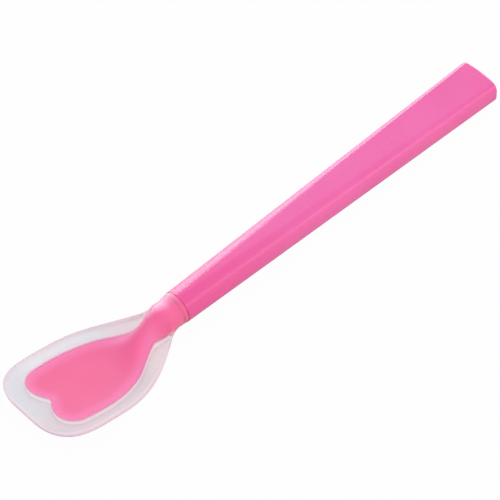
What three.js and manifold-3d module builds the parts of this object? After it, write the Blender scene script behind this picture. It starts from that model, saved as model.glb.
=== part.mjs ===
// Spoon with a hard glossy handle, a stiff heart-bladed core and a soft translucent head moulded over it.
// Millimetres. Every piece is drawn about the handle's axis: the seam between neck and handle is at x = 0,
// the handle runs toward +X and the head toward -X. The spoon is then tipped to lie on its belly and heel.
import * as THREE from 'three';
import { toCreasedNormals } from 'three/addons/utils/BufferGeometryUtils.js';
import Module from 'manifold-3d';

// Handle: round at the mouth, a flat bar with rounded corners at the end
const handleLength = 140.75;
const mouthDiameter = 11.8;
const handleEndWidth = 16.8;
const handleEndHeight = 8.4;
const handleEndCorner = 2.7;
const handleEndBow = 0.75;
const handleEndRounding = 1.2;
const heelRounding = 1.6;
const mouthRounding = 0.4;

// Head: bowl and neck sleeve
const headLength = 65.45;
const headWidth = 37.2;
const neckDiameter = 11.8;
const lipThickness = 1.2;
const bowlDepth = 1.4;
const rimDip = 3.2;
const tipRise = 3.7;
const skinThickness = 0.5;

// Core: heart blade, stem and tang
const bladeThickness = 1.1;
const heartWidth = 26.6;
const heartTipMargin = 8;
const lobeSpacing = 13;
const notchDepth = 3;
const waistWidth = 8.5;
const waistPosition = 13.75;
const tangLength = 35;
const tangWidth = 7.6;
const tangHeight = 6.4;
const tangTaper = 1.2;

// Gaps between pieces
const clearance = 0.3;

// Fineness of the lofts
const headSides = 58;
const coreSides = 40;
const cornerSteps = 8;
const flatSteps = 4;
const stationStep = 1.6;

const neckRadius = neckDiameter / 2;
const headHalfWidth = headWidth / 2;
const bodyThickness = bladeThickness + 2 * (skinThickness + clearance);
const heartTip = headLength - heartTipMargin;

const wasm = await Module();
wasm.setup();

// Smooth curve through [position, value] pairs, level beyond both ends.
function through(pairs) {
  const last = pairs.length - 1;
  const slopes = pairs.map((pair, i) => {
    if (i === 0 || i === last) return 0;
    const before = pairs[i - 1];
    const after = pairs[i + 1];
    return (after[1] - before[1]) / (after[0] - before[0]);
  });
  return (x) => {
    if (x <= pairs[0][0]) return pairs[0][1];
    if (x >= pairs[last][0]) return pairs[last][1];
    const i = pairs.findIndex((pair) => x < pair[0]) - 1;
    const span = pairs[i + 1][0] - pairs[i][0];
    const t = (x - pairs[i][0]) / span;
    const a = pairs[i][1] * (1 + 2 * t) * (1 - t) ** 2 + slopes[i] * span * t * (1 - t) ** 2;
    const b = pairs[i + 1][1] * t * t * (3 - 2 * t) + slopes[i + 1] * span * t * t * (t - 1);
    return a + b;
  };
}

// Closed solid from a row of rings, each a list of the same number of points.
function loft(rings) {
  const sides = rings[0].length;
  const positions = rings.flat().flatMap((point) => point.toArray());
  const index = [];
  for (let r = 0; r + 1 < rings.length; r++) {
    for (let i = 0; i < sides; i++) {
      const a = r * sides + i;
      const b = r * sides + ((i + 1) % sides);
      index.push(a, b, b + sides, a, b + sides, a + sides);
    }
  }
  const ends = [rings[0], rings[rings.length - 1]];
  ends.forEach((ring, end) => {
    const first = end * (rings.length - 1) * sides;
    const hub = positions.length / 3;
    const centre = ring.reduce((sum, point) => sum.add(point), new THREE.Vector3()).divideScalar(sides);
    positions.push(...centre.toArray());
    for (let i = 0; i < sides; i++) {
      const a = first + i;
      const b = first + ((i + 1) % sides);
      if (end === 0) index.push(hub, b, a);
      else index.push(hub, a, b);
    }
  });
  const geometry = new THREE.BufferGeometry();
  geometry.setAttribute('position', new THREE.Float32BufferAttribute(positions, 3));
  geometry.setIndex(index);
  return geometry;
}

// Body for the boolean operations, from positions alone, turned outward.
function solid(geometry) {
  const lookup = new Map();
  const points = [];
  const position = geometry.getAttribute('position');
  const corner = (i) => {
    const point = [position.getX(i), position.getY(i), position.getZ(i)];
    const key = point.map((value) => value.toFixed(5)).join(' ');
    if (!lookup.has(key)) {
      lookup.set(key, points.length / 3);
      points.push(...point);
    }
    return lookup.get(key);
  };
  const order = geometry.index ? Array.from(geometry.index.array) : [...Array(position.count).keys()];
  const triangles = order.map(corner);
  const body = (tris) => new wasm.Manifold(new wasm.Mesh({
    numProp: 3,
    vertProperties: Float32Array.from(points),
    triVerts: Uint32Array.from(tris),
  }));
  const shape = body(triangles);
  if (shape.volume() > 0) return shape;
  return body(triangles.reverse());
}

function toGeometry(body) {
  const mesh = body.getMesh();
  const geometry = new THREE.BufferGeometry();
  const positions = [];
  for (let i = 0; i < mesh.vertProperties.length; i += mesh.numProp) {
    positions.push(...mesh.vertProperties.subarray(i, i + 3));
  }
  geometry.setAttribute('position', new THREE.Float32BufferAttribute(positions, 3));
  geometry.setIndex(Array.from(mesh.triVerts));
  return toCreasedNormals(geometry, THREE.MathUtils.degToRad(35));
}

// Handle sections: a rounded rectangle across the handle's axis, given by its half sizes. Its flats have
// points of their own, so that the end can bow.
function barRing(x, halfWidth, halfHeight, corner, bow = 0) {
  const radius = Math.min(corner, halfWidth, halfHeight) - 0.01;
  const corners = [];
  for (let quarter = 0; quarter < 4; quarter++) {
    const sideY = quarter === 0 || quarter === 3 ? 1 : -1;
    const sideZ = quarter < 2 ? 1 : -1;
    for (let i = 0; i <= cornerSteps; i++) {
      const angle = (quarter + i / cornerSteps) * Math.PI / 2;
      const y = sideY * (halfWidth - radius) + radius * Math.cos(angle);
      const z = sideZ * (halfHeight - radius) + radius * Math.sin(angle);
      corners.push(new THREE.Vector3(x, y, z));
    }
  }
  const ring = [];
  corners.forEach((point, i) => {
    ring.push(point);
    if (i % (cornerSteps + 1) !== cornerSteps) return;
    const next = corners[(i + 1) % corners.length];
    for (let step = 1; step < flatSteps; step++) ring.push(point.clone().lerp(next, step / flatSteps));
  });
  ring.forEach((point) => {
    point.x -= bow * (point.y / halfWidth) ** 2;
  });
  return ring;
}

// Section of the handle at x, drawn in by inset, and on its lower half by lowerInset.
function handleRing(x, inset = 0, lowerInset = inset, bow = 0) {
  const t = x / handleLength;
  const halfWidth = THREE.MathUtils.lerp(mouthDiameter, handleEndWidth, t) / 2;
  const halfHeight = THREE.MathUtils.lerp(mouthDiameter, handleEndHeight, t) / 2;
  const corner = THREE.MathUtils.lerp(mouthDiameter / 2, handleEndCorner, t);
  const ring = barRing(x, halfWidth - inset, halfHeight - inset, Math.max(corner - inset, 0.4), bow);
  const lowerShare = (halfHeight - lowerInset) / (halfHeight - inset);
  ring.forEach((point) => {
    if (point.z < 0) point.z *= lowerShare;
  });
  return ring;
}

function handleBlank() {
  const rings = [];
  const roundSteps = 5;
  for (let i = 0; i < roundSteps; i++) {
    const angle = (i / roundSteps) * Math.PI / 2;
    rings.push(handleRing(mouthRounding * (1 - Math.cos(angle)), mouthRounding * (1 - Math.sin(angle))));
  }
  const straightSteps = 4;
  const straightEnd = handleLength - heelRounding - handleEndBow;
  for (let i = 0; i <= straightSteps; i++) {
    rings.push(handleRing(THREE.MathUtils.lerp(mouthRounding, straightEnd, i / straightSteps)));
  }
  const rounded = (radius, reach) => radius - Math.sqrt(radius ** 2 - Math.max(radius - reach, 0) ** 2);
  const endSteps = 8;
  for (let i = 1; i <= endSteps; i++) {
    const angle = (i / endSteps) * Math.PI / 2;
    const reach = heelRounding * (1 - Math.sin(angle));
    const inset = rounded(handleEndRounding, reach);
    const lowerInset = rounded(heelRounding, reach);
    rings.push(handleRing(handleLength - reach, inset, lowerInset, handleEndBow * Math.sin(angle)));
  }
  return loft(rings);
}

// The tang tapers toward its end; grown by the clearance it is the handle's socket.
function tangBlank(start, grow) {
  const end = tangLength + grow;
  const ring = (x) => {
    const shrink = tangTaper * Math.max(x, 0) / tangLength;
    return barRing(x, (tangWidth - shrink) / 2 + grow, (tangHeight - shrink) / 2 + grow, 1.6 + grow);
  };
  return loft([ring(start), ring(end)]);
}

// Head sections: all are functions of the distance s from the seam toward the tip, and y across the bowl.
const along = (pairs) => through(pairs.map(([part, value]) => [part * headLength, value]));
const flare = along([
  [0, 0], [0.023, -0.012], [0.074, -0.02], [0.119, 0.066], [0.18, 0.258], [0.271, 0.531], [0.363, 0.752],
  [0.455, 0.903], [0.546, 0.98], [0.639, 1], [0.756, 1.006],
]);
const neckDrop = along([[0, 0], [0.064, -0.12 * rimDip], [0.156, -0.3 * rimDip]]);
const rimHeight = along([
  [0, 0], [0.104, -0.3 * rimDip], [0.21, -0.8 * rimDip], [0.332, -rimDip], [0.516, -0.6 * rimDip],
  [0.729, 0.2 * tipRise], [1.081, 1.2 * tipRise],
]);
const hollow = along([
  [0.177, 0], [0.267, 0.27], [0.398, 0.73], [0.519, 1], [0.668, 0.91], [0.789, 0.6], [0.909, 0.23], [1, 0],
]);
const stemRise = along([
  [0.047, 1.08], [0.117, 1.19], [0.167, 1.11], [0.207, 0.965], [0.257, 0.728], [0.317, 0.412],
  [0.377, 0.153], [0.458, 0],
]);
const stemSpread = along([
  [0.057, 1], [0.147, 0.861], [0.207, 0.823], [0.267, 0.957], [0.348, 1.34], [0.447, 1.914],
]);
const stemSlope = along([[0.057, 0.5], [0.156, 0.8], [0.217, 1.4], [0.298, 2]]);
const keel = along([[0.047, 0.287], [0.127, 0.268], [0.167, 0.191], [0.207, 0.096], [0.278, 0]]);
const fullness = along([[0.88, 1], [1, 0]]);
const bowlShare = along([[0.047, 0], [0.156, 1]]);
const noseStart = 0.659 * headLength;

// The tip closes as a squarish round nose.
function noseFactor(s) {
  const t = THREE.MathUtils.clamp((s - noseStart) / (headLength - noseStart), 0, 1);
  return (1 - t ** 3.5) ** (1 / 3.1);
}

function halfWidthAt(s) {
  return (neckRadius + (headHalfWidth - neckRadius) * flare(s)) * noseFactor(s);
}

// The stem stands above and below the bowl's sheet as a ridge that fades toward the tip.
function stemProfile(s, y, inset) {
  const overStem = Math.min(Math.abs(y) / (stemSpread(s) * neckRadius - inset), 1);
  return neckRadius * (1 - overStem ** 2) ** stemSlope(s);
}

function dishAt(s, y) {
  const across = Math.min(Math.abs(y) / halfWidthAt(s), 1);
  return rimHeight(s) - bowlDepth * hollow(s) * (1 - across ** 2);
}

function topAt(s, y, inset) {
  return dishAt(s, y) + stemRise(s) * stemProfile(s, y, inset) - inset;
}

function bottomAt(s, y, inset) {
  const across = Math.min(Math.abs(y) / halfWidthAt(s), 1);
  const thickness = lipThickness + (bodyThickness - lipThickness) * fullness(s) * (1 - across ** 6);
  return dishAt(s, y) - thickness - keel(s) * stemProfile(s, y, inset) + inset;
}

// How much the rounded edge takes off each face, near the rim all round.
function edgeRounding(s, y) {
  const radius = lipThickness / 2;
  const reach = Math.min(halfWidthAt(s) - Math.abs(y), headLength - s);
  const inside = THREE.MathUtils.clamp(reach, 0, radius);
  return radius - Math.sqrt(radius ** 2 - (radius - inside) ** 2);
}

// Ring at distance s, drawn in from the outer surface by inset: round in the neck, then bowl-shaped.
function headRing(s, sides, inset = 0) {
  const share = bowlShare(s);
  const halfWidth = halfWidthAt(s) * (1 - inset / neckRadius);
  const ring = [];
  for (let i = 0; i < sides; i++) {
    const angle = (i / sides) * Math.PI * 2;
    const y = halfWidth * Math.cos(angle);
    const rounding = inset > 0 ? 0 : edgeRounding(s, y);
    const bowl = Math.sin(angle) >= 0 ? topAt(s, y, inset) - rounding : bottomAt(s, y, inset) + rounding;
    const round = (Math.min(halfWidthAt(s), neckRadius) - inset) * Math.sin(angle) + neckDrop(s);
    ring.push(new THREE.Vector3(-s, y, THREE.MathUtils.lerp(round, bowl, share)));
  }
  return ring;
}

// Distances from the seam at which head and core both have a ring, so that the skin over the core stays even.
function stations(end) {
  const first = Math.ceil((clearance + 1 - noseStart) / stationStep);
  const last = Math.floor((end - noseStart) / stationStep);
  const list = [];
  for (let i = first; i <= last; i++) list.push(noseStart + i * stationStep);
  return list;
}

function headBlank() {
  const rings = [clearance, ...stations(noseStart)].map((s) => headRing(s, headSides));
  const noseSteps = 18;
  for (let i = 1; i <= noseSteps; i++) {
    const s = noseStart + (headLength - 0.02 - noseStart) * Math.sin((i / noseSteps) * Math.PI / 2);
    rings.push(headRing(s, headSides));
  }
  return loft(rings);
}

// Blank of the core, or of the pocket it lies in: the head's own form drawn in by inset.
function coreBlank(start, inset) {
  const end = heartTip + 2;
  const rings = [start, ...stations(end), end].map((s) => headRing(s, coreSides, inset));
  return loft(rings);
}

// Plan of the core: a long heart that narrows to a waist and runs on, wide, along the stem.
function heartPlan() {
  const half = heartWidth / 2;
  const waist = waistWidth / 2;
  const lobe = lobeSpacing / 2;
  const notch = heartTip - notchDepth;
  const span = heartTip - waistPosition;
  const at = (part) => waistPosition + part * span;
  const plan = new THREE.Path();
  plan.moveTo(-clearance, 1.2 * neckRadius);
  plan.lineTo(0.46 * waistPosition, 1.2 * neckRadius);
  const shoulder = 0.7 * waistPosition;
  const dip = 0.735 * waistPosition;
  plan.bezierCurveTo(shoulder, 1.22 * neckRadius, dip, 1.08 * waist, waistPosition, waist);
  plan.bezierCurveTo(at(0.084), 1.04 * waist, at(0.206), 0.71 * half, at(0.327), 0.83 * half);
  plan.bezierCurveTo(at(0.499), 1.02 * half, at(0.678), 1.015 * half, at(0.848), 0.974 * half);
  plan.bezierCurveTo(at(0.93), 0.947 * half, heartTip, lobe + 0.28 * half, heartTip, lobe);
  plan.bezierCurveTo(heartTip, 0.55 * lobe, notch + 0.25 * notchDepth, 0.25 * lobe, notch, 0);
  const side = plan.getPoints(14);
  const mirrored = side.slice(0, -1).reverse().map((point) => new THREE.Vector2(point.x, -point.y));
  return [...side, ...mirrored];
}

// The plan, moved outward by a distance, as an upright prism through the whole head.
function heartPrism(grow) {
  const plan = heartPlan();
  const count = plan.length;
  const outline = plan.map((point, i) => {
    const before = plan[Math.max(i - 1, 0)];
    const after = plan[Math.min(i + 1, count - 1)];
    const tangent = after.clone().sub(before).normalize();
    return new THREE.Vector2(point.x - grow * tangent.y, point.y + grow * tangent.x);
  });
  outline[0].x -= 2 * grow;
  outline[count - 1].x -= 2 * grow;
  const shape = new THREE.Shape(outline.map((point) => new THREE.Vector2(-point.x, point.y)));
  const geometry = new THREE.ExtrudeGeometry(shape, { depth: 4 * neckDiameter, bevelEnabled: false });
  return geometry.translate(0, 0, -2 * neckDiameter);
}

const handleBody = solid(handleBlank()).subtract(solid(tangBlank(-1, clearance)));
const pocket = solid(coreBlank(-clearance, skinThickness)).intersect(solid(heartPrism(clearance)));
const headBody = solid(headBlank()).subtract(pocket);
const bladeAndStem = solid(coreBlank(clearance, skinThickness + clearance)).intersect(solid(heartPrism(0)));
const coreBody = bladeAndStem.add(solid(tangBlank(-0.5 * neckRadius, 0)));

function piece(name, body, colour, roughness, opacity = 1) {
  const material = new THREE.MeshStandardMaterial({ color: colour, roughness, metalness: 0 });
  material.transparent = opacity < 1;
  material.opacity = opacity;
  const mesh = new THREE.Mesh(toGeometry(body), material);
  mesh.name = name;
  return mesh;
}

const handle = piece('handle', handleBody, '#f478b7', 0.22);
const core = piece('core', coreBody, '#f66f98', 0.4);
const head = piece('silicone_head', headBody, '#ece4ea', 0.3, 0.45);

// Lying down: the belly of the bowl and the lower edge of the handle's end touch the same table.
function lowestPoint(geometry) {
  const position = geometry.getAttribute('position');
  const lowest = new THREE.Vector3(0, 0, Infinity);
  const point = new THREE.Vector3();
  for (let i = 0; i < position.count; i++) {
    point.fromBufferAttribute(position, i);
    if (point.z < lowest.z) lowest.copy(point);
  }
  return lowest;
}

const belly = lowestPoint(head.geometry);
const heelX = handleLength - heelRounding - handleEndBow;
const heelZ = -handleEndHeight / 2;

const spoon = new THREE.Group();
spoon.name = 'spoon';
spoon.add(handle, core, head);
spoon.rotation.y = Math.atan2(heelZ - belly.z, heelX - belly.x);
spoon.updateMatrixWorld(true);
const box = new THREE.Box3().setFromObject(spoon, true);
spoon.position.set(-(box.min.x + box.max.x) / 2, 0, -box.min.z);

const part = new THREE.Group();
part.name = 'silicone_spoon';
part.add(spoon);

export default part;
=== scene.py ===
"""Silicone spoon: fine lofts of its handle, core and silicone head, with procedural plastics, in soft light.

The forms repeat the part's measures, with a thinner skin over the core and a finer seam. They are drawn in
millimetres about the handle's axis, with the seam at x = 0 and the head toward -X, and then laid in the
part's frame. A station s on the head is its distance from the seam.
"""

import math

import bmesh
import bpy
import numpy as np
from mathutils import Matrix, Vector
from mathutils.geometry import delaunay_2d_cdt
from mathutils.kdtree import KDTree


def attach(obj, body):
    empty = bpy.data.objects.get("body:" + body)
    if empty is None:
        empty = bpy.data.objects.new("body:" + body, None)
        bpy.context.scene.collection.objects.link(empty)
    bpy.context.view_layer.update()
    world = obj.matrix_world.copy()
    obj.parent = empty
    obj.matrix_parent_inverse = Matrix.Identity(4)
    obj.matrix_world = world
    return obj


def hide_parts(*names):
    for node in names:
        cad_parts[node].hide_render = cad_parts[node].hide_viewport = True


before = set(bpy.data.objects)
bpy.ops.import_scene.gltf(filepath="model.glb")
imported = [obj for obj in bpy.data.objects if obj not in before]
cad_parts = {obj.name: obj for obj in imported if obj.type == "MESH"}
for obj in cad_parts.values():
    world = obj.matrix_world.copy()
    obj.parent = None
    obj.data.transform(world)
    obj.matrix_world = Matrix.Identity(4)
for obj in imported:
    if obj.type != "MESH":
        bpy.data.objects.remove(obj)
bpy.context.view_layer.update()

# Handle, in millimetres
HANDLE_LENGTH = 140.75
MOUTH_DIAMETER = 11.78
MOUTH_ROUNDING = 0.15
END_WIDTH = 16.8
END_HEIGHT = 8.4
END_CORNER = 2.7
END_BOW = 0.75
END_ROUNDING = 1.2
HEEL_ROUNDING = 1.6
LEAST_CORNER = 0.4
LEAST_FLAT = 0.01

# Silicone head, in millimetres
HEAD_LENGTH = 65.45
HEAD_HALF_WIDTH = 18.597
NECK_RADIUS = 5.89
LIP = 1.2
BODY = 2.7
BOWL_DEPTH = 1.4
RIM_DIP = 3.2
TIP_RISE = 3.7
NOSE_START = 0.659 * HEAD_LENGTH
NOSE_GAP = 0.02
SEAM = 0.02
SLEEVE_ROUNDING = 0.1
WALL_END = 1.5
WALL_FADE = 0.5
NO_RIM = 9

# Powers of the curves that round off the bowl's nose and belly
NOSE_FULLNESS = 3.5
NOSE_SQUARENESS = 3.1
BELLY_FULLNESS = 6

# Core, in millimetres
SKIN = 0.15
BLADE = 1.1
LEAST_BLADE = 0.2
BLADE_SLOPE = 2
BLADE_ROUNDING = 0.2
SHANK_DEPTH = 12
HEART_HALF = 13.3
HEART_TIP = 57.45
LOBE = 6.5
NOTCH_DEPTH = 3.0
WAIST = 4.25
WAIST_AT = 13.75
CORE_NECK = 1.035 * NECK_RADIUS
TANG_WIDTH = 7.6
TANG_HEIGHT = 6.4
TANG_CORNER = 1.6
TANG_ENDS = (10.0, -2.0)
SOCKET_GAP = 0.3
SOCKET_CORNER = TANG_CORNER + SOCKET_GAP
SOCKET_DEPTH = 12.0

# Fineness of the lofts
CORNER_STEPS = 20
FLAT_STEPS = 8
MOUTH_STEPS = 8
BAR_STEPS = 60
END_STEPS = 20
CAP_SHARES = (0.9, 0.7, 0.5, 0.3, 0.1)
HEAD_SIDES = 240
SLEEVE_STEPS = 5
BOWL_STEPS = 120
NOSE_STEPS = 70
SHARP_ANGLE = math.radians(50)
QUARTER_TURN = math.pi / 2

# Fineness of the core's net, with its places in millimetres
OUTLINE_STEPS = 40
EDGE_DEPTHS = (0.03, 0.08, 0.14, 0.2)
KEPT_DEPTH = 0.9
NET_STEP = 0.7
NET_START = 0.9
NET_MARGIN = 0.75
NET_ROWS = 20
SEAM_ROWS = 7
SEAM_ROW_AT = SEAM + 0.01
NET_TOLERANCE = 1e-5

# Small lengths that keep a divisor above zero, in millimetres
TINY = 1e-6
HAIR = 1e-4

# How the drawn spoon lies in the part's frame: brought to metres, tipped about Y by radians, then moved
LIE_PLACE = (-0.0377038, 0.0, 0.0063289)
LIE_TILT = 0.0151811
LIE = Matrix.Translation(LIE_PLACE) @ Matrix.Rotation(LIE_TILT, 4, "Y") @ Matrix.Scale(0.001, 4)


def smooth_through(pairs):
    """A smooth curve through (position, value) pairs, level beyond its ends."""
    last = len(pairs) - 1
    slopes = [0.0] * len(pairs)
    for i in range(1, last):
        slopes[i] = (pairs[i + 1][1] - pairs[i - 1][1]) / (pairs[i + 1][0] - pairs[i - 1][0])

    def value(x):
        if x <= pairs[0][0]:
            return pairs[0][1]
        if x >= pairs[last][0]:
            return pairs[last][1]
        i = next(j for j, pair in enumerate(pairs) if x < pair[0]) - 1
        span = pairs[i + 1][0] - pairs[i][0]
        t = (x - pairs[i][0]) / span
        a = pairs[i][1] * (1 + 2 * t) * (1 - t) ** 2 + slopes[i] * span * t * (1 - t) ** 2
        b = pairs[i + 1][1] * t * t * (3 - 2 * t) + slopes[i + 1] * span * t * t * (t - 1)
        return a + b

    return value


def along(pairs):
    """A smooth curve over the head's stations, from (part of its length, value) pairs."""
    return smooth_through([(part * HEAD_LENGTH, value) for part, value in pairs])


# How the head changes from the seam to its tip: heights in millimetres, the rest as shares
flare = along([
    (0, 0), (0.023, -0.012), (0.074, -0.02), (0.119, 0.066), (0.18, 0.258), (0.271, 0.531), (0.363, 0.752),
    (0.455, 0.903), (0.546, 0.98), (0.639, 1), (0.756, 1.006),
])
neck_drop = along([(0, 0), (0.064, -0.12 * RIM_DIP), (0.156, -0.3 * RIM_DIP)])
rim_height = along([
    (0, 0), (0.104, -0.3 * RIM_DIP), (0.21, -0.8 * RIM_DIP), (0.332, -RIM_DIP), (0.516, -0.6 * RIM_DIP),
    (0.729, 0.2 * TIP_RISE), (1.081, 1.2 * TIP_RISE),
])
hollow = along([
    (0.177, 0), (0.267, 0.27), (0.398, 0.73), (0.519, 1), (0.668, 0.91), (0.789, 0.6), (0.909, 0.23), (1, 0),
])
stem_rise = along([
    (0.047, 1.08), (0.117, 1.19), (0.167, 1.11), (0.207, 0.965), (0.257, 0.728), (0.317, 0.412),
    (0.377, 0.153), (0.458, 0),
])
stem_spread = along([
    (0.057, 1), (0.147, 0.861), (0.207, 0.823), (0.267, 0.957), (0.348, 1.34), (0.447, 1.914),
])
stem_slope = along([(0.057, 0.5), (0.156, 0.8), (0.217, 1.4), (0.298, 2)])
keel = along([(0.047, 0.287), (0.127, 0.268), (0.167, 0.191), (0.207, 0.096), (0.278, 0)])
fullness = along([(0.88, 1), (1, 0)])
bowl_share = along([(0.047, 0), (0.156, 1)])
blade_share = along([(0.135, 0), (0.389, 1)])
neck_share = along([(0.064, 1), (0.15, 0.8), (0.26, 0)])
shank_share = along([(0.085, 1), (0.125, 0)])


def half_width(s):
    """Half the head's width, which rounds off to its nose as a superellipse."""
    t = min(max((s - NOSE_START) / (HEAD_LENGTH - NOSE_START), 0), 1)
    nose = (1 - t**NOSE_FULLNESS) ** (1 / NOSE_SQUARENESS)
    return (NECK_RADIUS + (HEAD_HALF_WIDTH - NECK_RADIUS) * flare(s)) * nose


def stem_profile(s, y, inset):
    """Height of the stem's ridge over the bowl's sheet, before it fades toward the tip."""
    over = min(abs(y) / (stem_spread(s) * NECK_RADIUS - inset), 1)
    return NECK_RADIUS * (1 - over**2) ** stem_slope(s)


def head_height(s, y, upper, inset=0.0, width=None):
    """Height of the head's upper or lower surface, drawn in by inset."""
    width = width or half_width(s)
    across = min(abs(y) / max(half_width(s), TINY), 1)
    dish = rim_height(s) - BOWL_DEPTH * hollow(s) * (1 - across**2)
    if upper:
        bowl = dish + stem_rise(s) * stem_profile(s, y, inset) - inset
    else:
        thickness = LIP + (BODY - LIP) * fullness(s) * (1 - across**BELLY_FULLNESS)
        bowl = dish - thickness - keel(s) * stem_profile(s, y, inset) + inset
    radius = min(half_width(s), NECK_RADIUS) - inset
    round_part = radius * math.sqrt(max(1 - (y / width) ** 2, 0)) * (1 if upper else -1) + neck_drop(s)
    return round_part + (bowl - round_part) * bowl_share(s)


def rounded(radius, reach):
    """How far an edge of this radius is drawn in, at this reach from where it starts."""
    return radius - math.sqrt(max(radius**2 - max(radius - reach, 0) ** 2, 0))


def to_rim(s, y):
    """Distance in plan to the bowl's outer edge."""
    return min(half_width(s) - abs(y), HEAD_LENGTH - s)


def add_piece(name, verts, faces, replaced, slot):
    """A smooth piece made of points about the handle's axis, laid in the frame, which stands for a node."""
    mesh = bpy.data.meshes.new(name)
    mesh.from_pydata([LIE @ Vector(v) for v in verts], [], faces)
    net = bmesh.new()
    net.from_mesh(mesh)
    bmesh.ops.recalc_face_normals(net, faces=net.faces)
    net.to_mesh(mesh)
    net.free()
    mesh.shade_smooth()
    mesh.set_sharp_from_angle(angle=SHARP_ANGLE)
    piece = bpy.data.objects.new(name, mesh)
    bpy.context.scene.collection.objects.link(piece)
    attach(piece, "root")
    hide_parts(replaced)
    return piece


def paint(piece, name, values):
    """A number for each point of the piece, for its material."""
    piece.data.attributes.new(name, "FLOAT", "POINT").data.foreach_set("value", values)


def loft(rings):
    """Points and faces of a closed skin over rings of equal length."""
    sides = len(rings[0])
    verts = [point for ring in rings for point in ring]
    faces = []
    for r in range(len(rings) - 1):
        for i in range(sides):
            a = r * sides + i
            b = r * sides + (i + 1) % sides
            faces.append((a, a + sides, b + sides, b))
    faces.append(tuple(range(sides)))
    faces.append(tuple(reversed(range((len(rings) - 1) * sides, len(rings) * sides))))
    return verts, faces


def bar_ring(x, half_w, half_h, corner, bow=0.0):
    """Rounded rectangle across the handle's axis, with points along its flats too, its sides bowed back."""
    radius = min(corner, half_w, half_h) - LEAST_FLAT

    def on_corner(quarter, turn):
        side_y = 1 if quarter % 4 in (0, 3) else -1
        side_z = 1 if quarter % 4 < 2 else -1
        y = side_y * (half_w - radius) + radius * math.cos(turn * QUARTER_TURN)
        z = side_z * (half_h - radius) + radius * math.sin(turn * QUARTER_TURN)
        return y, z

    ring = []
    for quarter in range(4):
        ring += [on_corner(quarter, quarter + i / CORNER_STEPS) for i in range(CORNER_STEPS + 1)]
        y0, z0 = ring[-1]
        y1, z1 = on_corner(quarter + 1, quarter + 1)
        for i in range(1, FLAT_STEPS):
            t = i / FLAT_STEPS
            ring.append((y0 + (y1 - y0) * t, z0 + (z1 - z0) * t))
    return [(x - bow * (y / half_w) ** 2, y, z) for y, z in ring]


def handle_ring(x, inset=0.0, lower_inset=None, bow=0.0):
    """Section of the handle at x, drawn in by inset, and on its lower half by lower_inset."""
    t = x / HANDLE_LENGTH
    half_w = (MOUTH_DIAMETER + (END_WIDTH - MOUTH_DIAMETER) * t) / 2
    half_h = (MOUTH_DIAMETER + (END_HEIGHT - MOUTH_DIAMETER) * t) / 2
    corner = MOUTH_DIAMETER / 2 + (END_CORNER - MOUTH_DIAMETER / 2) * t
    ring = bar_ring(x, half_w - inset, half_h - inset, max(corner - inset, LEAST_CORNER), bow)
    lower = 1 if lower_inset is None else (half_h - lower_inset) / (half_h - inset)
    return [(px, y, z * lower if z < 0 else z) for px, y, z in ring]


def build_handle():
    """The bar with its blind socket, rounded mouth, and bowed and rounded end."""
    socket_w = TANG_WIDTH / 2 + SOCKET_GAP
    socket_h = TANG_HEIGHT / 2 + SOCKET_GAP
    rings = [bar_ring(x, socket_w, socket_h, SOCKET_CORNER) for x in (SOCKET_DEPTH, MOUTH_ROUNDING / 2)]
    for i in range(MOUTH_STEPS):
        angle = i / MOUTH_STEPS * QUARTER_TURN
        inset = MOUTH_ROUNDING * (1 - math.sin(angle))
        rings.append(handle_ring(MOUTH_ROUNDING * (1 - math.cos(angle)), inset))
    straight_end = HANDLE_LENGTH - HEEL_ROUNDING - END_BOW
    for i in range(BAR_STEPS + 1):
        rings.append(handle_ring(MOUTH_ROUNDING + (straight_end - MOUTH_ROUNDING) * i / BAR_STEPS))
    for i in range(1, END_STEPS + 1):
        angle = i / END_STEPS * QUARTER_TURN
        reach = HEEL_ROUNDING * (1 - math.sin(angle))
        inset = rounded(END_ROUNDING, reach)
        lower_inset = rounded(HEEL_ROUNDING, reach)
        rings.append(handle_ring(HANDLE_LENGTH - reach, inset, lower_inset, END_BOW * math.sin(angle)))
    edge = rings[-1]
    width = max(y for _, y, _ in edge)
    for share in CAP_SHARES:
        cap = [(HANDLE_LENGTH - END_BOW * (y * share / width) ** 2, y * share, z * share) for _, y, z in edge]
        rings.append(cap)
    return add_piece("handle_shell", *loft(rings), "handle", "handle_plastic")


def head_stations():
    """Stations of the head's rings: even along the bowl, close at the sleeve's end and at the nose."""
    sleeve = SEAM + SLEEVE_ROUNDING
    nose = HEAD_LENGTH - NOSE_GAP - NOSE_START
    stations = [
        SEAM + SLEEVE_ROUNDING * (1 - math.cos(i / SLEEVE_STEPS * QUARTER_TURN)) for i in range(SLEEVE_STEPS)
    ]
    stations += [sleeve + (NOSE_START - sleeve) * i / BOWL_STEPS for i in range(BOWL_STEPS + 1)]
    stations += [
        NOSE_START + nose * math.sin(i / NOSE_STEPS * QUARTER_TURN) for i in range(1, NOSE_STEPS + 1)
    ]
    return stations


def head_ring(s):
    """Section of the head at a station, with its rim rounded and the sleeve's end drawn in."""
    width = half_width(s)
    shrink = 1 - rounded(SLEEVE_ROUNDING, s - SEAM) / NECK_RADIUS
    ring = []
    for i in range(HEAD_SIDES):
        angle = i / HEAD_SIDES * math.tau
        y = width * math.cos(angle)
        upper = math.sin(angle) >= 0
        edge = rounded(LIP / 2, max(to_rim(s, y), 0)) * bowl_share(s)
        z = head_height(s, y, upper) - edge * (1 if upper else -1)
        ring.append((-s, y * shrink, z * shrink))
    return ring


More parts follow.
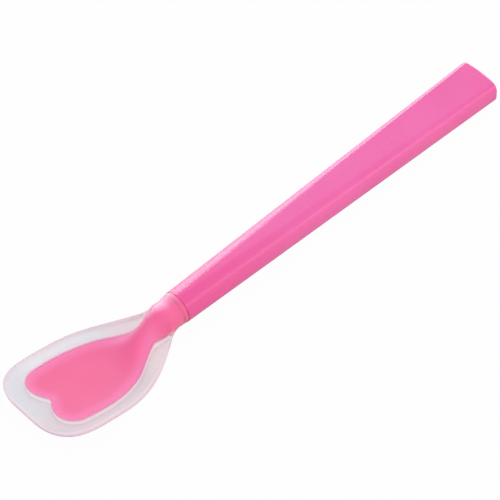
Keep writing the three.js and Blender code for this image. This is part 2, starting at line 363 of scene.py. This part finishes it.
def build_head():
    """The bowl with its sleeve, and what its material needs to know about each point."""
    rings = [head_ring(s) for s in head_stations()]
    piece = add_piece("silicone_bowl", *loft(rings), "silicone_head", "clear_silicone")
    spots = [(-x, y) for ring in rings for x, y, _ in ring]
    paint(piece, "cover", heart_cover(spots))
    paint(piece, "neck", [neck_share(s) for s, _ in spots])
    # Millimetres in from the rim, and far more on the neck, which has no rim
    rim = [to_rim(s, y) + NO_RIM * (1 - bowl_share(s)) for s, y in spots]
    paint(piece, "rim", rim)
    # How upright the surface is, near the rim alone
    normals = [n.vector for n in piece.data.vertex_normals]
    near_rim = [min(max((WALL_END - inner) / WALL_FADE, 0.0), 1.0) for inner in rim]
    paint(piece, "wall", [math.hypot(n.x, n.y) * near for n, near in zip(normals, near_rim)])
    return piece


def bezier(points, steps):
    """Points along a cubic curve, without its first one."""
    (ax, ay), (bx, by), (cx, cy), (dx, dy) = points
    out = []
    for i in range(1, steps + 1):
        t = i / steps
        k = ((1 - t) ** 3, 3 * t * (1 - t) ** 2, 3 * t * t * (1 - t), t**3)
        x = k[0] * ax + k[1] * bx + k[2] * cx + k[3] * dx
        y = k[0] * ay + k[1] * by + k[2] * cy + k[3] * dy
        out.append((x, y))
    return out


def heart_outline():
    """The core's plan from the neck round the lobes and back, as (s, y) points."""

    def at(part):
        return WAIST_AT + part * (HEART_TIP - WAIST_AT)

    notch = HEART_TIP - NOTCH_DEPTH
    half = HEART_HALF
    # Each row after the first point is one cubic curve: neck, waist, flank, lobe's side, lobe's round, notch
    corners = [
        (SEAM, CORE_NECK),
        (0.15 * WAIST_AT, CORE_NECK), (0.3 * WAIST_AT, CORE_NECK), (0.4 * WAIST_AT, CORE_NECK),
        (0.56 * WAIST_AT, CORE_NECK), (0.68 * WAIST_AT, 1.16 * WAIST), (WAIST_AT, WAIST),
        (at(0.084), 1.04 * WAIST), (at(0.206), 0.71 * half), (at(0.327), 0.83 * half),
        (at(0.499), 1.02 * half), (at(0.678), 1.015 * half), (at(0.848), 0.974 * half),
        (at(0.93), 0.947 * half), (HEART_TIP, LOBE + 0.28 * half), (HEART_TIP, LOBE),
        (HEART_TIP, 0.55 * LOBE), (notch + 0.25 * NOTCH_DEPTH, 0.25 * LOBE), (notch, 0.0),
    ]
    side = [corners[0]]
    for i in range(0, len(corners) - 1, 3):
        side += bezier(corners[i : i + 4], OUTLINE_STEPS)
    side = [(s, min(y, half_width(s) - SKIN)) for s, y in side]
    return side + [(s, -y) for s, y in reversed(side[:-1])]


def inside(outline, spots):
    """For each (s, y), whether it lies within the closed outline."""
    s, y = np.array(spots).T
    within = np.zeros(len(s), bool)
    for (s0, y0), (s1, y1) in zip(outline, outline[1:] + outline[:1]):
        if y0 != y1:
            within ^= ((y0 > y) != (y1 > y)) & (s < s0 + (y - y0) / (y1 - y0) * (s1 - s0))
    return within


def heart_cover(spots):
    """For each (s, y), how far it lies within the heart's edge in millimetres, negative outside it."""
    outline = heart_outline()
    tree = KDTree(len(outline))
    for i, (s, y) in enumerate(outline):
        tree.insert((s, y, 0), i)
    tree.balance()
    distances = np.array([tree.find((s, y, 0))[2] for s, y in spots])
    return np.where(inside(outline, spots), distances, -distances)


def drawn_in(outline, distance):
    """Every second point of the outline, moved inward."""
    moved = []
    for i in range(1, len(outline) - 1, 2):
        (s0, y0), (s1, y1) = outline[i - 1], outline[i + 1]
        length = math.hypot(s1 - s0, y1 - y0)
        s, y = outline[i]
        moved.append((s + distance * (y1 - y0) / length, y - distance * (s1 - s0) / length))
    return moved


def heart_net():
    """The core's plan as a net of triangles, finest at its edge, with each point's distance to that edge."""
    outline = heart_outline()
    count = len(outline)

    def to_edge(s, y):
        return min(math.hypot(s - a, y - b) for a, b in outline)

    plan = list(outline)
    for depth in EDGE_DEPTHS:
        plan += [p for p in drawn_in(outline, depth) if to_edge(*p) > KEPT_DEPTH * depth]
    rows = range(-NET_ROWS, NET_ROWS + 1)
    grid = [(NET_START + i * NET_STEP, j * NET_STEP) for i in range(int(HEART_TIP / NET_STEP)) for j in rows]
    plan += [p for p, within in zip(grid, inside(outline, grid)) if within and to_edge(*p) > NET_MARGIN]
    plan += [(SEAM_ROW_AT, j * NET_STEP) for j in range(-SEAM_ROWS, SEAM_ROWS + 1)]
    edges = [(i, (i + 1) % count) for i in range(count)]
    within_outline = 1
    points = [Vector(p) for p in plan]
    net = delaunay_2d_cdt(points, edges, [list(range(count))], within_outline, NET_TOLERANCE)
    flat, triangles = net[0], net[2]
    return flat, triangles, [to_edge(s, y) for s, y in flat]


def blade_faces(s, y, edge):
    """Heights of the core's upper and lower face at a spot this far within its rounded edge."""
    width = max(half_width(s) - SKIN, abs(y) + HAIR)
    top = head_height(s, y, True, SKIN, width)
    under = SKIN + (BODY - BLADE - 2 * SKIN) * blade_share(s)
    thickest = BLADE + BLADE_SLOPE * edge + SHANK_DEPTH * shank_share(s)
    bottom = max(head_height(s, y, False, under, width), top - thickest)
    bottom = min(bottom, top - LEAST_BLADE)
    radius = min(BLADE_ROUNDING, (top - bottom) / 2)
    drop = rounded(radius, edge)
    return top - drop, bottom + drop


def build_core():
    """The heart blade and stem, as a net lifted to its two faces, with the tang that runs into the handle."""
    flat, triangles, inward = heart_net()
    upper_side = []
    lower_side = []
    for (s, y), edge in zip(flat, inward):
        top, bottom = blade_faces(s, y, edge)
        upper_side.append((-s, y, top))
        lower_side.append((-s, y, bottom))
    n = len(flat)
    sides = {(a, b) for t in triangles for a, b in zip(t, t[1:] + t[:1])}
    faces = [tuple(reversed(t)) for t in triangles]
    faces += [tuple(k + n for k in t) for t in triangles]
    faces += [(a, b, b + n, a + n) for a, b in sides if (b, a) not in sides]
    tang = [bar_ring(x, TANG_WIDTH / 2, TANG_HEIGHT / 2, TANG_CORNER) for x in TANG_ENDS]
    tang_verts, tang_faces = loft(tang)
    faces += [tuple(k + 2 * n for k in face) for face in tang_faces]
    piece = add_piece("heart_core", upper_side + lower_side + tang_verts, faces, "core", "core_plastic")
    paint(piece, "inward", inward + inward + [TANG_HEIGHT / 2] * len(tang_verts))
    return piece


def linear(red, green, blue):
    """A colour given as 0 to 255 on the sRGB curve, in linear light."""

    def channel(c):
        return ((c / 255 + 0.055) / 1.055) ** 2.4 if c > 10 else c / 255 / 12.92

    return channel(red), channel(green), channel(blue), 1.0


# Colours of the handle
HANDLE_PINK = linear(246, 104, 179)
HANDLE_PINK_PALE = linear(249, 110, 184)
HANDLE_PINK_DEEP = linear(250, 90, 163)
# Painted shade, for the lip of the handle's mouth
MOUTH_PAINTED_SHADE = linear(232, 52, 112)

# Colours of the core
CORE_PINK = linear(246, 98, 152)
CORE_PINK_PALE = linear(248, 105, 159)
STEM_PAINTED_LIGHT_PINK = linear(252, 108, 164)
BLADE_EDGE_PAINTED_GLOW = linear(254, 128, 188)

# Colours of the silicone
MILK = linear(242, 242, 252)
MILK_PALE = linear(246, 246, 254)
TIP_GREY = linear(222, 222, 234)
NEAR_SIDE_PAINTED_BOUNCE = linear(236, 212, 222)
SHOULDER_MILK = linear(252, 240, 243)
LIP_PAINTED_GLOW = linear(252, 232, 240)
WALL_PAINTED_GLOW = linear(246, 205, 236)
GLOW_ROSE = linear(252, 212, 232)
GLOW_PINK = linear(255, 130, 185)
GROOVE_BROWN = linear(170, 118, 122)

# Places along the spoon where its colours change, as X in metres of the part's frame
DEEP_SPAN = (-0.037, 0.02)
MOUTH_SHADE_SPAN = (-0.0376, -0.0372)
STEM_SPAN = (-0.068, -0.05)
EDGE_FADE_SPAN = (-0.052, -0.046)
SHOULDER_SPAN = (-0.066, -0.054)
GROOVE_BAND = (-0.0402, -0.0393, -0.0391, -0.0384)
TIP_SPAN = (-0.098, -0.085)

# The side of the bowl with painted pink bounce light and shade, as Y in metres
NEAR_SIDE_BOUNCE_SPAN = (0.004, -0.014)

# Bands of the silicone, in millimetres in from the heart's edge, negative outside it, or from the rim
GLOW_BAND = (-1.1, 0.0, -0.1, 0.4)
TINT_SPAN = (-0.9, 0.1)
HAZE_SPAN = (-0.7, 0.4)
SHOULDER_FADE = (-0.6, 0.0)
LIP_BAND = (0.2, 0.7, 0.9, 1.9)

# The core's lighter fringe, partly painted light, in millimetres in from its edge
EDGE_GLOW_SPAN = (0.0, 5.0)

# What each zone adds to the silicone's haze
ZONE_HAZE = {"glow": 0.36, "soft_edge": 0.12, "shoulder": 0.18, "lip": 0.12, "groove": 0.16}

# Gloss and grain
PLASTIC_IOR = 1.5
SILICONE_IOR = 1.42
HANDLE_ROUGHNESS = (0.24, 0.28)
CORE_ROUGHNESS = (0.38, 0.46)
SILICONE_ROUGHNESS = (0.44, 0.5)
MOST_COAT = 0.09
BUMP_HEIGHT = 0.0002
NOISE_SPAN = (0.3, 0.7)
RUBS_SPAN = (0.3, 0.75)
LENGTHWISE = (0.06, 1.0, 1.0)

# Floor
FLOOR_SIZE = 6
PAPER = (0.74, 0.74, 0.74, 1)
BEHIND_SPAN = (-0.005, 0.015)


class Shader:
    """A Principled material with short calls for the nodes behind its sockets."""

    def __init__(self, piece, name, **sockets):
        self.mat = bpy.data.materials.new(name)
        self.mat.use_nodes = True
        self.nodes = self.mat.node_tree.nodes
        self.links = self.mat.node_tree.links
        self.principled = self.nodes["Principled BSDF"]
        for socket, value in sockets.items():
            self.principled.inputs[socket.replace("_", " ")].default_value = value
        self.place = self.nodes.new("ShaderNodeTexCoord").outputs["Object"]
        piece.data.materials.append(self.mat)

    def put(self, target, value):
        """Links the socket to a node's output, or sets it to a plain value."""
        if hasattr(value, "is_output"):
            self.links.new(value, target)
        else:
            target.default_value = value

    def noise(self, scale, detail=2.0, stretch=None):
        node = self.nodes.new("ShaderNodeTexNoise")
        node.inputs["Scale"].default_value = scale
        node.inputs["Detail"].default_value = detail
        where = self.place
        if stretch:
            mapping = self.nodes.new("ShaderNodeMapping")
            mapping.inputs["Scale"].default_value = stretch
            self.links.new(where, mapping.inputs["Vector"])
            where = mapping.outputs["Vector"]
        self.links.new(where, node.inputs["Vector"])
        return node.outputs["Fac"]

    def attribute(self, name):
        node = self.nodes.new("ShaderNodeAttribute")
        node.attribute_name = name
        return node.outputs["Fac"]

    def axis(self, letter):
        node = self.nodes.new("ShaderNodeSeparateXYZ")
        self.links.new(self.place, node.inputs[0])
        return node.outputs[letter]

    def ramp(self, value, low, high, start=0.0, end=1.0, eased=True):
        """The value's range from low to high as start to end, level beyond them."""
        node = self.nodes.new("ShaderNodeMapRange")
        node.interpolation_type = "SMOOTHSTEP" if eased else "LINEAR"
        self.links.new(value, node.inputs["Value"])
        for name, number in (("From Min", low), ("From Max", high), ("To Min", start), ("To Max", end)):
            node.inputs[name].default_value = number
        return node.outputs["Result"]

    def fall(self, value, low, high):
        """One below low, nothing above high."""
        return self.ramp(value, low, high, start=1.0, end=0.0)

    def band(self, value, start, full, fade, end):
        """One from full to fade, nothing outside start and end."""
        return self.times(self.ramp(value, start, full), self.fall(value, fade, end))

    def math(self, operation, a, b):
        node = self.nodes.new("ShaderNodeMath")
        node.operation = operation
        self.put(node.inputs[0], a)
        self.put(node.inputs[1], b)
        return node.outputs[0]

    def times(self, a, b):
        return self.math("MULTIPLY", a, b)

    def plus(self, a, b):
        return self.math("ADD", a, b)

    def mix(self, share, a, b):
        """A colour between a and b."""
        node = self.nodes.new("ShaderNodeMix")
        node.data_type = "RGBA"
        # The node has a set of sockets for each kind of value, and these are its colour ones
        self.put(node.inputs[0], share)
        self.put(node.inputs[6], a)
        self.put(node.inputs[7], b)
        return node.outputs[2]

    def mottled(self, scale, a, b):
        """A colour that wanders softly between a and b."""
        return self.mix(self.ramp(self.noise(scale, detail=3), *NOISE_SPAN), a, b)

    def finish(self, colour, roughness, height, bump):
        """Sets the Principled surface's colour, roughness and bump."""
        self.links.new(colour, self.principled.inputs["Base Color"])
        self.links.new(roughness, self.principled.inputs["Roughness"])
        node = self.nodes.new("ShaderNodeBump")
        node.inputs["Strength"].default_value = bump
        node.inputs["Distance"].default_value = BUMP_HEIGHT
        self.links.new(height, node.inputs["Height"])
        self.links.new(node.outputs["Normal"], self.principled.inputs["Normal"])

    def lay_over(self, share, surface):
        """Mixes another surface over the Principled one."""
        blend = self.nodes.new("ShaderNodeMixShader")
        self.links.new(share, blend.inputs["Fac"])
        self.links.new(self.principled.outputs["BSDF"], blend.inputs[1])
        self.links.new(surface, blend.inputs[2])
        self.links.new(blend.outputs["Shader"], self.nodes["Material Output"].inputs["Surface"])

    def gloss_coat(self, roughness, ior, share):
        """A weak mirror over the outer face, as strong on the clear parts as on the hazy ones."""
        mirror = self.nodes.new("ShaderNodeBsdfAnisotropic")
        self.links.new(roughness, mirror.inputs["Roughness"])
        fresnel = self.nodes.new("ShaderNodeFresnel")
        fresnel.inputs["IOR"].default_value = ior
        outer = self.math("SUBTRACT", 1.0, self.nodes.new("ShaderNodeNewGeometry").outputs["Backfacing"])
        strength = self.times(self.times(fresnel.outputs["Fac"], outer), share)
        self.lay_over(self.math("MINIMUM", strength, MOST_COAT), mirror.outputs["BSDF"])


def handle_material(piece):
    """Glossy pink plastic: deeper pink toward the mouth, crimson painted shade in its lip, with fine rub
    marks.
    """
    m = Shader(
        piece, "pink_gloss", IOR=PLASTIC_IOR,
        Subsurface_Weight=0.1, Subsurface_Radius=(0.002, 0.0008, 0.001), Subsurface_Scale=1.0,
    )
    x = m.axis("X")
    colour = m.mottled(45, HANDLE_PINK, HANDLE_PINK_PALE)
    colour = m.mix(m.ramp(x, *DEEP_SPAN, start=0.7, end=0.0), colour, HANDLE_PINK_DEEP)
    # Painted shade: crimson on the mouth's lip, where its rounding lies in shade
    colour = m.mix(m.ramp(x, *MOUTH_SHADE_SPAN, start=0.7, end=0.0), colour, MOUTH_PAINTED_SHADE)
    rubs = m.noise(700, detail=4, stretch=LENGTHWISE)
    m.finish(colour, m.ramp(rubs, *RUBS_SPAN, *HANDLE_ROUGHNESS), rubs, bump=0.0015)


def core_material(piece):
    """Satin pink plastic, lighter along the blade's edge and on the stem, partly with painted light, with
    hardly any gloss inside the silicone.
    """
    m = Shader(piece, "pink_satin", IOR=PLASTIC_IOR, Specular_IOR_Level=0.05)
    x = m.axis("X")
    colour = m.mottled(70, CORE_PINK, CORE_PINK_PALE)
    # Partly a pinker tone on the stem, partly painted light that lifts it out of the shade on its slopes
    colour = m.mix(m.ramp(x, *STEM_SPAN), colour, STEM_PAINTED_LIGHT_PINK)
    # Partly a pinker tone, partly painted light: light that the silicone scatters onto the blade's edge
    painted_edge_glow = m.ramp(m.attribute("inward"), *EDGE_GLOW_SPAN, start=0.9, end=0.0)
    colour = m.mix(m.times(painted_edge_glow, m.fall(x, *EDGE_FADE_SPAN)), colour, BLADE_EDGE_PAINTED_GLOW)
    grain = m.noise(1800)
    m.finish(colour, m.ramp(grain, *NOISE_SPAN, *CORE_ROUGHNESS), grain, bump=0.05)


def silicone_zones(m, cover, neck, rim):
    """Shares, from 0 to 1, of the places where the silicone looks different, by name."""
    x = m.axis("X")
    by_shoulder = m.ramp(x, *SHOULDER_SPAN)
    # Light from the pink core, scattered in the silicone along its edge
    glow = m.times(m.band(cover, *GLOW_BAND), m.fall(neck, 0.85, 1.0))
    return {
        "glow": glow,
        "soft_edge": m.times(glow, by_shoulder),
        "shoulder": m.times(by_shoulder, m.fall(cover, *SHOULDER_FADE)),
        "lip": m.band(rim, *LIP_BAND),
        # Shade in the sleeve's end, beside the seam
        "groove": m.band(x, *GROOVE_BAND),
    }


def silicone_haze(m, zones, cover, neck, wall):
    """How milky the silicone is: nearly clear as a thin skin over the core, hazy where it is thick."""
    thick = m.ramp(cover, *HAZE_SPAN, start=0.46, end=0.03)
    haze = m.times(thick, m.ramp(neck, 0.2, 1.0, start=1.0, end=0.3))
    haze = m.plus(haze, m.ramp(wall, 0.3, 0.8, start=0.0, end=0.36))
    for name, share in ZONE_HAZE.items():
        haze = m.plus(haze, m.times(zones[name], share))
    return haze


def silicone_colour(m, zones, cover, wall):
    """The haze's colour: milk, greyer at the tip, with painted pink light at the lip, on the rim's wall, on
    one side and beside the core, and painted shade beside the seam.
    """
    colour = m.mottled(60, MILK, MILK_PALE)
    colour = m.mix(m.ramp(m.axis("X"), *TIP_SPAN, start=0.6, end=0.0), colour, TIP_GREY)
    # Painted light and shade: the pink bounce and the shadow under the core, seen through the near side
    colour = m.mix(m.ramp(m.axis("Y"), *NEAR_SIDE_BOUNCE_SPAN, start=0.0, end=0.75), colour, NEAR_SIDE_PAINTED_BOUNCE)
    colour = m.mix(zones["shoulder"], colour, SHOULDER_MILK)
    # Painted light: a pink line along the rim, light carried in the silicone from the core
    colour = m.mix(m.times(zones["lip"], 0.8), colour, LIP_PAINTED_GLOW)
    # Painted light: pink on the rim's upright wall, light carried in the silicone from the core
    colour = m.mix(m.ramp(wall, 0.5, 0.85), colour, WALL_PAINTED_GLOW)
    tint = m.mix(m.ramp(cover, *TINT_SPAN), GLOW_ROSE, GLOW_PINK)
    colour = m.mix(m.times(zones["glow"], 0.85), colour, tint)
    return m.mix(zones["groove"], colour, GROOVE_BROWN)


def silicone_material(piece):
    """Milky silicone with a satin bloom, whose coat is strongest at the neck and on the rim's outer face."""
    m = Shader(piece, "milky_silicone", IOR=SILICONE_IOR, Specular_IOR_Level=0.0)
    cover = m.attribute("cover")
    neck = m.attribute("neck")
    wall = m.attribute("wall")
    zones = silicone_zones(m, cover, neck, m.attribute("rim"))
    m.put(m.principled.inputs["Alpha"], silicone_haze(m, zones, cover, neck, wall))
    bloom = m.noise(500, detail=3)
    roughness = m.ramp(bloom, *NOISE_SPAN, *SILICONE_ROUGHNESS)
    m.finish(silicone_colour(m, zones, cover, wall), roughness, bloom, bump=0.01)
    on_neck = m.ramp(neck, 0.5, 0.85, start=0.16, end=1.0)
    on_wall = m.ramp(wall, 0.2, 0.6, start=0.0, end=0.6)
    m.gloss_coat(roughness, SILICONE_IOR, m.math("MAXIMUM", on_neck, on_wall))


def build_floor():
    """A sheet of pale paper.

    Seen straight on, it is an evenly white ground with a faint shadow, which is deeper through the silicone.
    The gloss mirrors it bright behind the spoon and dim before it. For all other light it is plain paper.
    """
    bpy.ops.mesh.primitive_plane_add(size=FLOOR_SIZE, location=(0, 0, 0))
    floor = bpy.context.object
    floor.name = "floor"
    m = Shader(floor, "white_paper", Base_Color=PAPER, Roughness=1.0, Specular_IOR_Level=0.0)
    # Its glow is for the camera and the gloss alone, so it isn't sampled as a lamp
    m.mat.cycles.emission_sampling = "NONE"
    rays = m.nodes.new("ShaderNodeLightPath").outputs
    unveiled = m.math("LESS_THAN", rays["Transparent Depth"], 0.5)
    whiteness = m.ramp(unveiled, 0.0, 1.0, start=0.6, end=0.97, eased=False)
    seen = m.times(rays["Is Camera Ray"], whiteness)
    behind = m.ramp(m.axis("Y"), *BEHIND_SPAN, start=-0.6, end=0.8, eased=False)
    ground = m.nodes.new("ShaderNodeEmission")
    m.put(ground.inputs["Strength"], m.plus(m.times(rays["Is Glossy Ray"], behind), 1.0))
    m.lay_over(m.plus(seen, rays["Is Glossy Ray"]), ground.outputs["Emission"])


def build_world():
    """Even white light from all round, which the gloss doesn't show."""
    world = bpy.data.worlds.new("studio")
    bpy.context.scene.world = world
    world.use_nodes = True
    background = world.node_tree.nodes["Background"]
    background.inputs["Color"].default_value = (1, 1, 1, 1)
    background.inputs["Strength"].default_value = 0.8
    world.cycles_visibility.glossy = False


def softbox(name, place, size, power, colour=(1, 1, 1), shines=True, mirrors=True, only=None):
    """A panel aimed at the part, for all or only one piece, which lights it, shows in its gloss, or both."""
    lamp = bpy.data.lights.new(name, "AREA")
    lamp.shape = "RECTANGLE"
    lamp.size, lamp.size_y = size
    lamp.energy = power
    lamp.color = colour
    box = bpy.data.objects.new(name, lamp)
    box.location = place
    box.rotation_euler = Vector(place).to_track_quat("Z", "Y").to_euler()
    box.visible_diffuse = shines
    box.visible_glossy = mirrors
    bpy.context.scene.collection.objects.link(box)
    if only:
        box.light_linking.receiver_collection = bpy.data.collections.new(f"{name}_receiver")
        box.light_linking.receiver_collection.objects.link(only)


def build_lights(head, core):
    """Panels by name, with their place and size in metres and their power in watts."""
    softbox("back_panel", (0.68, 1.33, 0.3), (2.2, 0.75), 25.0, shines=False)
    softbox("near_back_panel", (0.095, 0.219, 0.175), (0.1, 0.13), 0.24, shines=False)
    softbox("high_back_panel", (0.6, 0.85, 1.25), (2.2, 0.7), 3.7, shines=False)
    cool = (0.55, 0.8, 1.0)
    softbox("silicone_panel", (0.55, 1.08, 0.88), (2.2, 1.8), 105.0, cool, shines=False, only=head)
    yellowish = (0.9, 0.96, 0.38)
    softbox("front_panel", (0.38, -0.5, 0.13), (0.7, 0.22), 0.85, yellowish, mirrors=False)
    warm = (1.0, 0.9, 0.85)
    softbox("core_fill", (-0.12, -0.5, 0.07), (0.5, 0.1), 0.15, warm, mirrors=False, only=core)
    softbox("front_strip", (0.57, -1.06, 0.71), (2.4, 0.35), 4.2, shines=False)
    softbox("ceiling_panel", (0, 0, 1.6), (1.6, 1.6), 4.0, mirrors=False)


# The photograph's camera, fitted to the handle's edges: place in metres, lens and sensor in millimetres
AZIMUTH = math.radians(-40.9959)
ELEVATION = math.radians(52.4091)
ROLL = math.radians(-2.7238)
DISTANCE = 1.20018
TARGET = Vector((-0.007872, -0.003163, 0.012692))
LENS = 264.669
SENSOR = 36


def build_camera():
    """The camera at the photograph's angle."""
    camera = bpy.data.objects.new("camera", bpy.data.cameras.new("camera"))
    bpy.context.scene.collection.objects.link(camera)
    level = math.cos(ELEVATION)
    back = Vector((math.sin(AZIMUTH) * level, -math.cos(AZIMUTH) * level, math.sin(ELEVATION)))
    turn = back.to_track_quat("Z", "Y") @ Matrix.Rotation(ROLL, 4, "Z").to_quaternion()
    camera.location = TARGET + DISTANCE * back
    camera.rotation_euler = turn.to_euler()
    camera.data.lens = LENS
    camera.data.sensor_width = SENSOR
    bpy.context.scene.camera = camera


handle = build_handle()
head = build_head()
core = build_core()
handle_material(handle)
core_material(core)
silicone_material(head)
build_floor()
build_world()
build_lights(head, core)
build_camera()
bpy.context.scene.view_settings.view_transform = "Standard"
